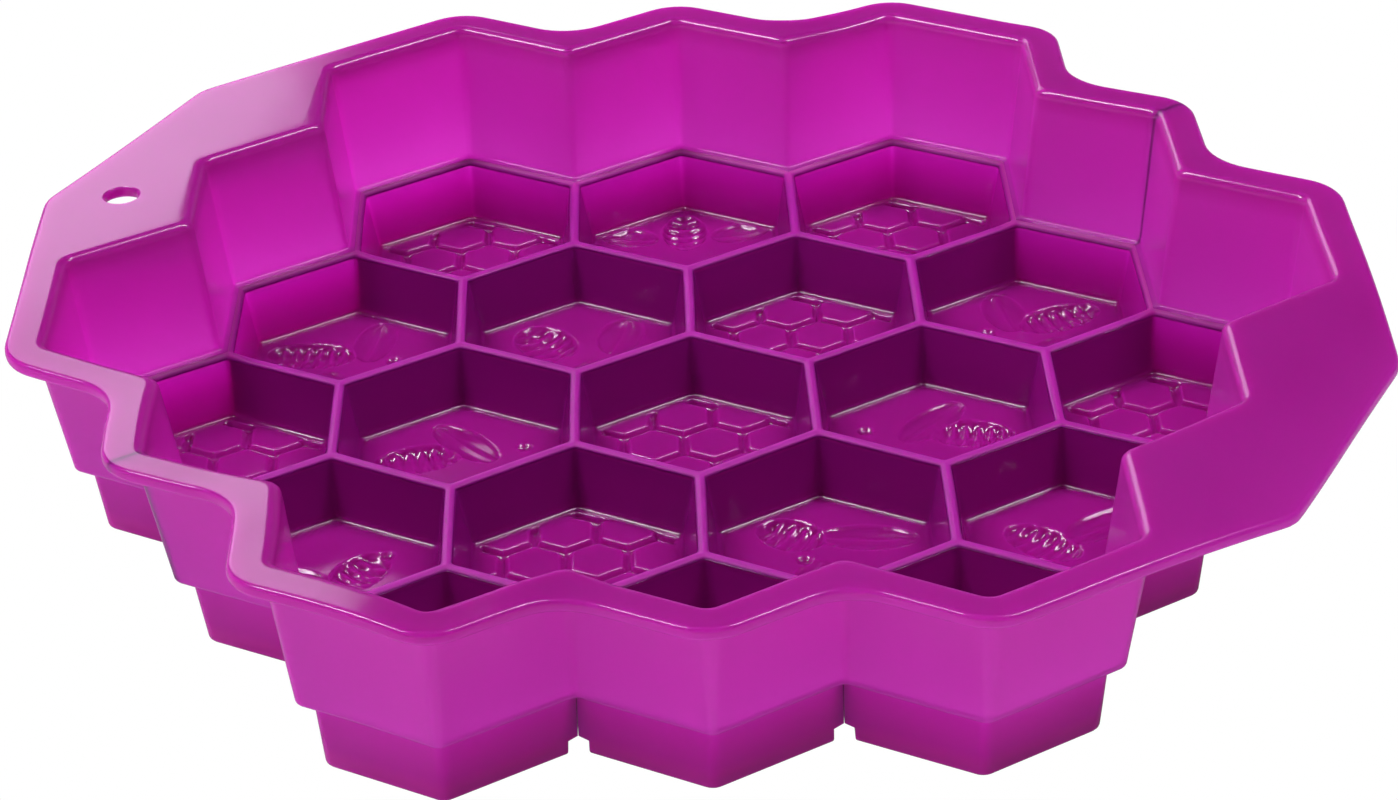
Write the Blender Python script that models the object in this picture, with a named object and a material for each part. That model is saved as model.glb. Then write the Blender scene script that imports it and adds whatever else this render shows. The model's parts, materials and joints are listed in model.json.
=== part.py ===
"""Honeycomb soap mould: one silicone moulding with nineteen hexagonal cells, two tabs and a tall skirt.

Metres, +Z up, +Y away from the user, origin at the centre of the base plane. The moulding is divided
into the regions that flex against each other: a tube of wall round every cell, a push-out floor in
every tube, the skirt that keeps the poured soap in, the rim flange and the two tabs.
"""

import math

import bmesh
import bpy
from mathutils import Matrix, Vector

# Comb plan
PITCH = 0.045  # between the centres of neighbouring cells
SIDE = PITCH / math.sqrt(3)
ROW_RELIEFS = ("CBC", "BBCB", "CBCBC", "BCBB", "CBC")  # back row first: B is a bee, C is a comb
BEE_HEADINGS_DEG = {
    "r1c2": 90,
    "r2c1": 200,
    "r2c2": 120,
    "r2c4": 25,
    "r3c2": -10,
    "r3c4": 190,
    "r4c1": 200,
    "r4c3": 150,
    "r4c4": 215,
    "r5c2": 90,
}
SEAM = 0.0003  # between two regions of the moulding

# Heights above the base plane
FLOOR_TOP = 0.0029
WEB_LOW = 0.0032  # underside of the solid web that joins neighbouring cups
WEB_HIGH = 0.0036
SKIRT_BOTTOM = 0.0142
DIVIDER_TOP = 0.0149
LEDGE_TOP = 0.0156  # where the ledge meets the skirt's inner face
RIM_TOP = 0.0431
RIM_THICKNESS = 0.0024
RIM_BOTTOM = RIM_TOP - RIM_THICKNESS
SKIRT_TOP = RIM_BOTTOM - SEAM

# Cell walls, as distances from the cell's axis to the faces
HALF_PITCH = PITCH / 2
WELL_TOP = HALF_PITCH - 0.001
WELL_FLOOR = HALF_PITCH - 0.0031
WELL_DRAFT = (WELL_TOP - WELL_FLOOR) / (DIVIDER_TOP - FLOOR_TOP)
FOOT_INSET = 0.0018  # base of a cup, in from the comb's lines
FOOT_DRAFT = 0.0001
CUP_STEP_IN = 0.0003  # outer face of an edge cup under the skirt, in from the comb's lines

# Skirt and rim, out from the comb's outer zigzag
SKIRT_IN_LOW = 0.0012
SKIRT_IN_HIGH = 0.0037
SKIRT_OUT_LOW = 0.0023
SKIRT_OUT_HIGH = 0.0058
SKIRT_EDGE = 0.0007
RIM_IN = 0.0042
RIM_OUT = 0.011
RIM_EDGE_RADIUS = 0.0009
INNER_CORNER_RADIUS = 0.0008
CONVEX_GROWTH = 0.5  # how fast an outer face's convex corners widen with its distance from the zigzag
OUTER_CONCAVE_RADIUS = 0.0020
RIM_CONVEX_RADIUS = 0.0105
RIM_CONCAVE_RADIUS = 0.0125
CORNER_STEPS = 2
RIM_CORNER_STEPS = 4

# Tabs: straight bands across the flange at right angles to TAB_ANGLE and TAB_ANGLE + 180 degrees
TAB_ANGLE = math.radians(150)
TAB_SAGS_DEG = {"hanging_tab": 1.5, "grip_tab": 6.0}
TAB_HINGE_OUT = 0.1148  # hinge line from the mould's centre
TAB_EDGE_OUT = 0.1280
TAB_SIDE_OUT = 2.5 * PITCH + RIM_OUT  # the two straight flange edges that each tab continues
TAB_CORNER_RADIUS = 0.009
TAB_TIP_RADIUS = 0.0013
TAB_ZONE_OUT = 3 * SIDE  # the zigzag flange farther out than this gives way to a tab
KNUCKLE = 0.0015  # tab material behind its hinge line
RIM_SETBACK = 0.0020  # flange edge behind the hinge line
HOLE_ALONG = -0.0189
HOLE_OUT = 0.1150
HOLE_RADIUS = 0.0032
HOLE_SEGMENTS = 16
EAR_HALF_WIDTH = 0.0062
EAR_RADIUS = 0.0034
EAR_REACH = 0.0058  # tab material behind the hole's centre
EAR_GAP = 0.0008

# Reliefs sunk into the floors
GROOVE_DEPTH = 0.0010
GROOVE_WIDTH = 0.0018
TILE_PITCH = 0.0114
TILE_SHIFT = Vector((0.0034, 0.0044))
TILE_MARGIN = 0.0004
TILE_SPAN = range(-3, 3)  # rows and columns of tiles that can reach a floor
TILE_ROOT = 1.5 * GROOVE_DEPTH  # how far a tile reaches down, into the plate below the grooves
SMALLEST_TILE = 0.1 * TILE_PITCH**2
BEE_DEPTH = 0.0017
# name: centre along and across the body, half length, half width, turn in degrees
BEE_FORMS = {
    "abdomen": (-0.0035, 0.0, 0.0060, 0.0042, 0),
    "head": (0.0062, 0.0, 0.0042, 0.0034, 0),
    "left_wing": (-0.0005, 0.0085, 0.0068, 0.0041, 125),
    "right_wing": (-0.0005, -0.0085, 0.0068, 0.0041, -125),
}
BALL_SEGMENTS = 12
BALL_RINGS = 6

SILICONE = (0.50, 0.010, 0.33, 1.0)


def clear_scene():
    for obj in list(bpy.data.objects):
        bpy.data.objects.remove(obj, do_unlink=True)


def silicone(name, shade):
    """One tone of the magenta silicone."""
    material = bpy.data.materials.new(name)
    material.use_nodes = True
    shader = material.node_tree.nodes["Principled BSDF"]
    shader.inputs["Base Color"].default_value = [c * shade for c in SILICONE[:3]] + [1.0]
    shader.inputs["Roughness"].default_value = 0.32
    shader.inputs["Metallic"].default_value = 0.0
    shader.inputs["Subsurface Weight"].default_value = 0.2
    return material


def add_object(name, data, material, location=(0, 0, 0)):
    obj = bpy.data.objects.new(name, data)
    bpy.context.scene.collection.objects.link(obj)
    obj.location = location
    data.materials.append(material)
    return obj


def mesh_from(name, bm):
    bmesh.ops.recalc_face_normals(bm, faces=bm.faces)
    mesh = bpy.data.meshes.new(name)
    bm.to_mesh(mesh)
    bm.free()
    mesh.shade_smooth()
    mesh.set_sharp_from_angle(angle=math.radians(30))
    return mesh


def direction(angle):
    return Vector((math.cos(angle), math.sin(angle)))


# Plan geometry


def cell_centres():
    """Name to centre of each cell, rows from the back and cells from the left."""
    centres = {}
    middle_row = (len(ROW_RELIEFS) - 1) / 2
    for row, reliefs in enumerate(ROW_RELIEFS):
        for column in range(len(reliefs)):
            x = (column - (len(reliefs) - 1) / 2) * PITCH
            y = (middle_row - row) * 1.5 * SIDE
            centres[f"r{row + 1}c{column + 1}"] = Vector((x, y))
    return centres


def open_sides(centre, centres):
    """Which of a cell's six sides have no cell behind them, counter-clockwise from +X."""
    found = []
    for k in range(6):
        beyond = centre + direction(math.radians(60 * k)) * PITCH
        found.append(all((beyond - other).length > SIDE for other in centres.values()))
    return found


def comb_outline(centres):
    """The comb's outer zigzag, counter-clockwise from its frontmost left corner."""
    following = {}
    for centre in centres.values():
        for k, is_open in enumerate(open_sides(centre, centres)):
            if is_open:
                start = centre + direction(math.radians(60 * k - 30)) * SIDE
                end = centre + direction(math.radians(60 * k + 30)) * SIDE
                following[grid_key(start)] = end
    frontmost = min(following, key=lambda key: (key[1], key[0]))
    outline = [following[frontmost]]
    while len(outline) < len(following):
        outline.append(following[grid_key(outline[-1])])
    return outline


def grid_key(point):
    return round(point.x * 1e4), round(point.y * 1e4)


def offset_outline(outline, out, convex_radius, concave_radius, steps):
    """The zigzag moved out, with an arc of steps segments at every corner."""
    points = []
    for i, corner in enumerate(outline):
        before = (corner - outline[i - 1]).normalized()
        after = (outline[(i + 1) % len(outline)] - corner).normalized()
        normal = Vector((before.y, -before.x))
        next_normal = Vector((after.y, -after.x))
        mitre = (normal + next_normal) / (1 + normal.dot(next_normal))
        turn = math.asin(before.x * after.y - before.y * after.x)
        reach = convex_radius if turn > 0 else -concave_radius
        centre = corner + mitre * (out - reach)
        for step in range(steps + 1):
            spoke = Matrix.Rotation(turn * step / steps, 2) @ normal
            points.append(centre + spoke * reach)
    return points


def skirt_ring(outline, out, z, grows=True):
    """One closed ring of the skirt. Outer rings get wider arcs on their corners."""
    convex = INNER_CORNER_RADIUS + (out * CONVEX_GROWTH if grows else 0)
    concave = OUTER_CONCAVE_RADIUS if grows else INNER_CORNER_RADIUS
    flat = offset_outline(outline, out, convex, concave, CORNER_STEPS)
    return [point.to_3d() + Vector((0, 0, z)) for point in flat]


def hexagon_ring(apothems, z):
    """Hexagon whose sides, counter-clockwise from +X, lie at these distances from the axis."""
    ring = []
    for k in range(6):
        first = direction(math.radians(60 * k))
        second = direction(math.radians(60 * (k + 1)))
        a, b = apothems[k], apothems[(k + 1) % 6]
        turn = first.x * second.y - first.y * second.x
        x = (a * second.y - b * first.y) / turn
        y = (first.x * b - second.x * a) / turn
        ring.append(Vector((x, y, z)))
    return ring


def loft(rings, closed=False):
    """Skin over rings of equal length: a closed one joins its last ring to its first, an open one has caps."""
    bm = bmesh.new()
    rows = [[bm.verts.new(point) for point in ring] for ring in rings]
    pairs = list(zip(rows, rows[1:]))
    if closed:
        pairs.append((rows[-1], rows[0]))
    for low, high in pairs:
        for i in range(len(low)):
            j = (i + 1) % len(low)
            bm.faces.new((low[i], low[j], high[j], high[i]))
    if not closed:
        bm.faces.new(rows[0])
        bm.faces.new(rows[-1])
    return bm


# Cells


def cell_wall(name, centre, is_open, material):
    """Tube of wall round one cell: half of each divider, the foot ring and, at the edge, the ledge."""

    def outer(z, shared):
        slope = (FOOT_INSET - CUP_STEP_IN) / SKIRT_BOTTOM
        edge = HALF_PITCH - FOOT_INSET + slope * min(z, SKIRT_BOTTOM)
        return hexagon_ring([edge if side else shared for side in is_open], z)

    foot = HALF_PITCH - FOOT_INSET
    divider = HALF_PITCH - SEAM / 2
    rings = [
        outer(0, foot),
        outer(WEB_LOW, foot + FOOT_DRAFT),
        outer(WEB_HIGH, divider),
        outer(SKIRT_BOTTOM, divider),
        outer(DIVIDER_TOP, divider),
        hexagon_ring([WELL_TOP] * 6, DIVIDER_TOP),
        hexagon_ring([WELL_FLOOR - WELL_DRAFT * FLOOR_TOP] * 6, 0),
    ]
    return add_object(name, mesh_from(name, loft(rings, closed=True)), material, centre.to_3d())


def floor_blank(thickness):
    """Push-out floor with no relief: a drafted hexagonal plate that clears its tube by one seam."""
    low = WELL_FLOOR - WELL_DRAFT * FLOOR_TOP - SEAM
    high = low + WELL_DRAFT * thickness
    return loft([hexagon_ring([low] * 6, 0), hexagon_ring([high] * 6, thickness)])


def clipped(polygon, apothem):
    """The part of a convex polygon that lies inside a hexagon."""
    for k in range(6):
        outward = direction(math.radians(60 * k))
        kept = []
        for i, point in enumerate(polygon):
            last = polygon[i - 1]
            here, there = point.dot(outward) - apothem, last.dot(outward) - apothem
            if here * there < 0:
                kept.append(last + (point - last) * there / (there - here))
            if here <= 0:
                kept.append(point)
        polygon = kept
    return polygon


def polygon_area(polygon):
    pairs = zip(polygon, polygon[1:] + polygon[:1])
    return sum(a.x * b.y - a.y * b.x for a, b in pairs) / 2


def comb_tiles():
    """Raised hexagonal tiles over a floor, cut off at its edge, as one mesh of separate prisms."""
    bm = bmesh.new()
    edge = WELL_FLOOR - SEAM - TILE_MARGIN
    tile_apothem = (TILE_PITCH - GROOVE_WIDTH) / 2
    for row in TILE_SPAN:
        for column in TILE_SPAN:
            x = (column + (row % 2) / 2) * TILE_PITCH
            y = row * TILE_PITCH * math.sqrt(3) / 2
            centre = TILE_SHIFT + Vector((x, y))
            tile = [point.to_2d() + centre for point in hexagon_ring([tile_apothem] * 6, 0)]
            tile = clipped(tile, edge)
            if len(tile) < 3 or polygon_area(tile) < SMALLEST_TILE:
                continue
            low = [bm.verts.new((p.x, p.y, FLOOR_TOP - TILE_ROOT)) for p in tile]
            high = [bm.verts.new((p.x, p.y, FLOOR_TOP)) for p in tile]
            bm.faces.new(low)
            bm.faces.new(high)
            for i in range(len(tile)):
                bm.faces.new((low[i - 1], low[i], high[i], high[i - 1]))
    return bm


def bee_cutter(heading):
    """Ball shapes whose lower halves press a bee into a floor."""
    bm = bmesh.new()
    for along, across, half_length, half_width, turn in BEE_FORMS.values():
        place = (
            Matrix.Rotation(heading, 4, "Z")
            @ Matrix.Translation((along, across, FLOOR_TOP))
            @ Matrix.Rotation(math.radians(turn), 4, "Z")
            @ Matrix.Diagonal((half_length, half_width, BEE_DEPTH, 1))
        )
        bmesh.ops.create_uvsphere(
            bm, u_segments=BALL_SEGMENTS, v_segments=BALL_RINGS, radius=1, matrix=place
        )
    return bm


def helper(name, bm, location, material):
    """A mesh that only a Boolean uses."""
    obj = add_object(name, mesh_from(name, bm), material, location)
    obj.hide_render = True
    obj.display_type = "WIRE"
    return obj


def comb_floor(name, centre, material):
    floor_bm = floor_blank(FLOOR_TOP - GROOVE_DEPTH)
    floor = add_object(name, mesh_from(name, floor_bm), material, centre.to_3d())
    join = floor.modifiers.new("tiles", "BOOLEAN")
    join.operation = "UNION"
    join.object = helper(name + "_tiles", comb_tiles(), centre.to_3d(), material)
    return floor


def bee_floor(name, centre, heading, material):
    floor = add_object(name, mesh_from(name, floor_blank(FLOOR_TOP)), material, centre.to_3d())
    cut = floor.modifiers.new("bee", "BOOLEAN")
    cut.operation = "DIFFERENCE"
    cut.use_self = True
    cut.object = helper(name + "_bee", bee_cutter(heading), centre.to_3d(), material)
    return floor


# Skirt, rim and tabs


def skirt_wall(outline, material):
    """Zigzag wall over the cells, leaning out, with a rounded lower edge."""
    foot = SEAM - CUP_STEP_IN
    rings = [
        skirt_ring(outline, foot, SKIRT_BOTTOM, grows=False),
        skirt_ring(outline, SKIRT_OUT_LOW - SKIRT_EDGE, SKIRT_BOTTOM),
        skirt_ring(outline, SKIRT_OUT_LOW, SKIRT_BOTTOM + SKIRT_EDGE),
        skirt_ring(outline, SKIRT_OUT_HIGH, SKIRT_TOP),
        skirt_ring(outline, SKIRT_IN_HIGH, SKIRT_TOP, grows=False),
        skirt_ring(outline, SKIRT_IN_LOW, LEDGE_TOP, grows=False),
        skirt_ring(outline, foot, DIVIDER_TOP, grows=False),
    ]
    return add_object("skirt_wall", mesh_from("skirt_wall", loft(rings, closed=True)), material)


def rounded_corner(before, corner, after, radius, steps=4):
    """Points that turn the corner between two others into an arc. A radius of 0 keeps it sharp."""
    if radius == 0:
        return [corner]
    inward = (corner - before).normalized()
    outward = (after - corner).normalized()
    turn = math.atan2(inward.x * outward.y - inward.y * outward.x, inward.dot(outward))
    reach = math.copysign(radius, turn)
    normal = Vector((inward.y, -inward.x))
    next_normal = Vector((outward.y, -outward.x))
    centre = corner - (normal + next_normal) * reach / (1 + normal.dot(next_normal))
    spokes = [Matrix.Rotation(turn * step / steps, 2) @ normal for step in range(steps + 1)]
    return [centre + spoke * reach for spoke in spokes]


def rounded_polygon(corners, radii):
    """A counter-clockwise polygon, with each corner turned into an arc of its own radius."""
    points = []
    for i, corner in enumerate(corners):
        after = corners[(i + 1) % len(corners)]
        points += rounded_corner(corners[i - 1], corner, after, radii[i])
    return points


def ear_corners(gap):
    """The ear round the hanging hole, from the hinge line in and back, in tab coordinates."""
    half = EAR_HALF_WIDTH + gap
    inner = HOLE_OUT - TAB_HINGE_OUT - EAR_REACH - gap
    return [Vector((HOLE_ALONG - half, inner)), Vector((HOLE_ALONG + half, inner))]


def side_at(out):
    """Half the length of a line across the tab, at this distance from the mould's centre."""
    return 2 * TAB_SIDE_OUT - math.sqrt(3) * out


def tab_outline(has_hole):
    """Tab plan: x along the hinge line, y out from it."""
    knuckle_half = side_at(TAB_HINGE_OUT - KNUCKLE)
    edge_half = side_at(TAB_EDGE_OUT)
    corners = [Vector((-knuckle_half, -KNUCKLE))]
    radii = [TAB_TIP_RADIUS]
    if has_hole:
        low, high = ear_corners(0)
        corners += [Vector((low.x, -KNUCKLE)), low, high, Vector((high.x, -KNUCKLE))]
        radii += [0, EAR_RADIUS, EAR_RADIUS, 0]
    corners += [
        Vector((knuckle_half, -KNUCKLE)),
        Vector((edge_half, TAB_EDGE_OUT - TAB_HINGE_OUT)),
        Vector((-edge_half, TAB_EDGE_OUT - TAB_HINGE_OUT)),
    ]
    radii += [TAB_TIP_RADIUS, TAB_CORNER_RADIUS, TAB_CORNER_RADIUS]
    return rounded_polygon(corners, radii)


def flange_behind_tab(has_hole):
    """Flange edge behind a tab, in tab coordinates, in the order that the rim's outline runs."""
    half = side_at(TAB_HINGE_OUT - RIM_SETBACK)
    points = [Vector((half, -RIM_SETBACK))]
    if has_hole:
        low, high = ear_corners(EAR_GAP)
        mouth = Vector((high.x, -RIM_SETBACK)), Vector((low.x, -RIM_SETBACK))
        radius = EAR_RADIUS + EAR_GAP
        points.append(mouth[0])
        points += rounded_corner(mouth[0], high, low, radius)
        points += rounded_corner(high, low, mouth[1], radius)
        points.append(mouth[1])
    points.append(Vector((-half, -RIM_SETBACK)))
    return points


def rim_outline(outline):
    """Outer edge of the flange: it follows the zigzag, and runs straight behind each tab."""
    points = []
    done = set()
    ring = offset_outline(
        outline, RIM_OUT, RIM_CONVEX_RADIUS, RIM_CONCAVE_RADIUS, RIM_CORNER_STEPS
    )
    for point in ring:
        zone = None
        for has_hole, turn in ((True, TAB_ANGLE), (False, TAB_ANGLE + math.pi)):
            local = Matrix.Rotation(math.pi / 2 - turn, 2) @ point
            if abs(local.x) < side_at(TAB_HINGE_OUT - RIM_SETBACK) and local.y > TAB_ZONE_OUT:
                zone = (has_hole, turn)
        if zone is None:
            points.append(point)
        elif zone not in done:
            done.add(zone)
            back = Matrix.Rotation(zone[1] - math.pi / 2, 2)
            hinge = Vector((0, TAB_HINGE_OUT))
            points += [back @ (local + hinge) for local in flange_behind_tab(zone[0])]
    return points


def plate(name, outlines, material):
    """A flat plate of the flange's thickness with rounded edges; every outline after the first is a hole."""
    curve = bpy.data.curves.new(name, "CURVE")
    curve.dimensions = "2D"
    curve.fill_mode = "BOTH"
    curve.extrude = RIM_THICKNESS / 2 - RIM_EDGE_RADIUS
    curve.bevel_depth = RIM_EDGE_RADIUS
    curve.offset = -RIM_EDGE_RADIUS
    curve.bevel_resolution = 1
    for outline in outlines:
        spline = curve.splines.new("POLY")
        spline.points.add(len(outline) - 1)
        for target, point in zip(spline.points, outline):
            target.co = (point.x, point.y, 0, 1)
        spline.use_cyclic_u = True
    return add_object(name, curve, material)


def rim_flange(outline, material):
    inner = offset_outline(outline, RIM_IN, INNER_CORNER_RADIUS, INNER_CORNER_RADIUS, 1)
    rim = plate("rim_flange", [rim_outline(outline), inner[::-1]], material)
    rim.location.z = RIM_TOP - RIM_THICKNESS / 2
    return rim


def tab(name, turn, has_hole, material):
    """A tab hanging on its own hinge line, a little below the flange's plane."""
    outlines = [tab_outline(has_hole)]
    if has_hole:
        centre = Vector((HOLE_ALONG, HOLE_OUT - TAB_HINGE_OUT))
        clockwise = [-2 * math.pi * k / HOLE_SEGMENTS for k in range(HOLE_SEGMENTS)]
        outlines.append([centre + direction(angle) * HOLE_RADIUS for angle in clockwise])
    piece = plate(name, outlines, material)
    piece.location = (direction(turn) * TAB_HINGE_OUT).to_3d()
    piece.location.z = RIM_TOP - RIM_THICKNESS / 2
    sag = math.radians(TAB_SAGS_DEG[name])
    sagged = Matrix.Rotation(turn - math.pi / 2, 3, "Z") @ Matrix.Rotation(-sag, 3, "X")
    piece.rotation_euler = sagged.to_euler()
    return piece


def main():
    clear_scene()
    wall_material = silicone("silicone_cell_walls", 0.80)
    floor_material = silicone("silicone_floors", 0.95)
    skirt_material = silicone("silicone_skirt", 1.0)
    tab_material = silicone("silicone_tabs", 1.08)

    centres = cell_centres()
    for cell, centre in centres.items():
        cell_wall("cell_wall_" + cell, centre, open_sides(centre, centres), wall_material)
        row, column = int(cell[1]) - 1, int(cell[3]) - 1
        if ROW_RELIEFS[row][column] == "B":
            heading = math.radians(BEE_HEADINGS_DEG[cell])
            bee_floor("bee_floor_" + cell, centre, heading, floor_material)
        else:
            comb_floor("comb_floor_" + cell, centre, floor_material)

    outline = comb_outline(centres)
    skirt_wall(outline, skirt_material)
    rim_flange(outline, skirt_material)
    tab("hanging_tab", TAB_ANGLE, True, tab_material)
    tab("grip_tab", TAB_ANGLE + math.pi, False, tab_material)


main()
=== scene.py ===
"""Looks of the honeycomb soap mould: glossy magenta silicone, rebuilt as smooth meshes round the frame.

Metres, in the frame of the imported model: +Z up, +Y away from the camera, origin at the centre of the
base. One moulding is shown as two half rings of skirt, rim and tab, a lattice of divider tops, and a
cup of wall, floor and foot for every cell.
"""

import json
import math

import bmesh
import bpy
import numpy as np
from mathutils import Matrix, Vector, noise


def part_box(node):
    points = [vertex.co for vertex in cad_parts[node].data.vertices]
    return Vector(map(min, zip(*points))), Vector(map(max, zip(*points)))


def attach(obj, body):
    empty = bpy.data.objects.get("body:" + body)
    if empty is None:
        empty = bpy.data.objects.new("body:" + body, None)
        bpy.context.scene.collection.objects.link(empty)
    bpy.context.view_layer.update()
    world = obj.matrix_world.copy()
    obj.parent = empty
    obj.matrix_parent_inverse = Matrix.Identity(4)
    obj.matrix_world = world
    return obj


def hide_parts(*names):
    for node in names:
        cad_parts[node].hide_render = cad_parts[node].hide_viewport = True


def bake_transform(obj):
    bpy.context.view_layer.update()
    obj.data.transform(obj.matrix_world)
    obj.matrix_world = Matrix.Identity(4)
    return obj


MM = 0.001

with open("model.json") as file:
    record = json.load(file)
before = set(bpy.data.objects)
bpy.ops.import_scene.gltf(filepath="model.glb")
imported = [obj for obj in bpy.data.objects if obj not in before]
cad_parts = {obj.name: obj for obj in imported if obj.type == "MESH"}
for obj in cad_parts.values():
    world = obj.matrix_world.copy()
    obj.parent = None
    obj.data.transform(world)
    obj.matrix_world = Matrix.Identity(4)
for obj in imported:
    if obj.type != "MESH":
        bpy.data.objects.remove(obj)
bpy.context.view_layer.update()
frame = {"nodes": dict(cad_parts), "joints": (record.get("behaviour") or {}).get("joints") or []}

# Places that the frame gives
FLOOR_NODES = {name.split("_")[-1]: name for name in frame["nodes"] if "_floor_" in name}
CENTRES = {
    cell: np.array(sum(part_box(node), Vector()) / 2)[:2] for cell, node in FLOOR_NODES.items()
}
PITCH = CENTRES["r3c4"][0] - CENTRES["r3c3"][0]
SIDE = PITCH / math.sqrt(3)
HALF_PITCH = PITCH / 2
FLOOR_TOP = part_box(FLOOR_NODES["r3c3"])[1].z
DIVIDER_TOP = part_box("cell_wall_r3c3")[1].z
SKIRT_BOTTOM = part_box("skirt_wall")[0].z
RIM_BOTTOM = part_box("rim_flange")[0].z
RIM_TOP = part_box("rim_flange")[1].z
TABS = {
    joint["child"]: np.array(joint["pos_m"][:2]) for joint in frame["joints"] if joint["type"] == "hinge"
}
TAB_HINGE_OUT = float(np.hypot(*TABS["hanging_tab"]))
TAB_EDGE_OUT = max(
    vertex.co.x * TABS["hanging_tab"][0] + vertex.co.y * TABS["hanging_tab"][1]
    for vertex in frame["nodes"]["hanging_tab"].data.vertices
) / TAB_HINGE_OUT

# Wells: distances from a cell's axis to its faces
WELL_TOP = HALF_PITCH - 1.0 * MM
WELL_FLOOR = HALF_PITCH - 3.1 * MM
WELL_DRAFT = (WELL_TOP - WELL_FLOOR) / (DIVIDER_TOP - FLOOR_TOP)
WELL_SEAM = SKIRT_BOTTOM + 0.05 * MM  # height where the lattice of divider tops meets the cups
WELL_CORNER_RADIUS = 1.0 * MM
FLOOR_FILLET = 1.4 * MM

# Divider tops, and the ledge that they form along the comb's outer lines
CREST_FILLET = 0.5 * MM
CREST_SWEEP = math.radians(80)
CREST_CROWN = 0.12 * MM  # from the middle of a crest down to the start of its fillet
CREST_CROWN_HALFWAY = 0.35 * CREST_CROWN
CREST_CORNER_LENGTH = 0.4 * MM  # distance in from the middle line over which corners get round
SAME_POINT = 0.02 * MM  # points of neighbouring cells closer than this are one
LEDGE_LIFT = 0.35 * MM  # over the dividers
LEDGE_LIFT_LENGTH = 5 * MM
LEDGE_FILLET = 1.1 * MM
LEDGE_TOP = DIVIDER_TOP + LEDGE_LIFT

# Cups from below
FOOT_INSET = 1.8 * MM
FOOT_EDGE_RADIUS = 1.0 * MM
WEB_LOW = 3.2 * MM
WEB_HIGH = 3.6 * MM
CUP_SIDE_HEIGHTS = (WEB_HIGH, 6 * MM, 9 * MM)
CUP_CLEARANCE = 0.05 * MM  # from a cup to the plane halfway to its neighbour
CUP_STEP_OUT = -0.45 * MM
CUP_CORNER_RADIUS = 2.5 * MM
LIP_LOW = SKIRT_BOTTOM - 0.05 * MM  # underside of the thin lip that laps an edge cup under the skirt
LIP_OUT = HALF_PITCH + 0.02 * MM
SHARED_WALL_TOP = 0.4 * MM  # between the last two rings of a wall that faces a neighbour
SHARED_WALL_SHELF = 0.15 * MM

# Skirt and rim, out from the comb's outer zigzag
SKIRT_IN_LOW = 1.2 * MM
SKIRT_FOOT_FILLET = 0.7 * MM
SKIRT_FOOT_RISE = 0.2 * MM
SKIRT_FOOT_BEND = (0.3 * MM, 0.08 * MM)  # a point between the comb and that fillet: out and up
SKIRT_OUT_LOW = 2.2 * MM
SKIRT_OUT_HIGH = 5.8 * MM
SKIRT_EDGE_RADIUS = 1.3 * MM
RIM_IN = 4.0 * MM
RIM_IN_FILLET = 2.0 * MM
RIM_OUT = 11.4 * MM
RIM_EDGE_RADIUS = 0.9 * MM
UNDER_RIM_FILLET = 1.6 * MM
INNER_CORNER_RADIUS = 0.9 * MM
OUTER_CONCAVE_RADIUS = INNER_CORNER_RADIUS + 1.2 * MM
CONVEX_GROWTH = 0.55  # how much a corner's radius grows with its distance from the comb
CONCAVE_GROWTH = 0.45
RIM_CONVEX_RADIUS = 10.5 * MM
RIM_CONCAVE_RADIUS = 12.5 * MM
SKIRT_LEAN_IN = (RIM_IN - SKIRT_IN_LOW) / (RIM_TOP - LEDGE_TOP)
SKIRT_LEAN_OUT = (SKIRT_OUT_HIGH - SKIRT_OUT_LOW) / (RIM_BOTTOM - SKIRT_BOTTOM)

# The soft rim isn't level: how far it stands above its true height, by bearing in degrees
RIM_LIFTS = {
    0: 0.8 * MM,
    12: 1.0 * MM,
    25: 0.8 * MM,
    40: 0.3 * MM,
    57: -1.1 * MM,
    70: -1.1 * MM,
    79: 0.3 * MM,
    100: 0.35 * MM,
    120: 0.5 * MM,
    150: -0.2 * MM,
    178: -0.2 * MM,
    195: -1.2 * MM,
    215: -0.3 * MM,
    228: 0.6 * MM,
    242: 1.3 * MM,
    252: 0.5 * MM,
    262: -1.1 * MM,
    300: -1.4 * MM,
    318: -1.2 * MM,
    335: -0.2 * MM,
}
# Places where the soft wall leans: middle, radius and sideways shift at the top
LEANS = (
    ((-66 * MM, -85 * MM), 32 * MM, (1.8 * MM, 0.4 * MM)),
    ((-97 * MM, -42 * MM), 26 * MM, (-1.6 * MM, 0.0)),
)
LEAN_AT_BASE = 0.25  # share of the shift that the base makes
# The dividers and walls aren't quite straight: waves in a metre of x, y and z, and how far they reach
WAVES_PER_METRE = np.array([22, 22, 6])
WAVE_REACH = np.array([0.45 * MM, 0.45 * MM, 0.25 * MM])
WAVE_SEED = 7

# Tabs
TAB_CORNER_RADIUS = 9 * MM
TAB_SIDE_OUT = 2.5 * PITCH + RIM_OUT
TAB_ZONE_HALF = PITCH + 1 * MM  # half the stretch of rim that a tab grows from
TAB_ZONE_OUT = 3 * SIDE  # and how far from the mould's centre it lies
TAB_HALF = PITCH + RIM_OUT / 2
TAB_SAGS = {"hanging_tab": 0.3 * MM, "grip_tab": 2.6 * MM}
SAG_START_OUT = TAB_EDGE_OUT - 21 * MM
SAG_POWER = 1.6

# Hanging hole
HOLE_ALONG = -18.9 * MM
HOLE_OUT = 115.0 * MM
HOLE_RADIUS = 3.2 * MM
HOLE_EDGE_RADIUS = 0.9 * MM
HOLE_STEPS = 48
FLARE_SWEEP_DEG = 78
FLARE_END_OUT = 0.25 * MM  # the cutter's flares end this much wider and this far past the tab's faces
FLARE_END_PAST = 1 * MM
FLAT_ENOUGH = 0.98  # cosine of the steepest tilt that a face of the tab's flat has

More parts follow.
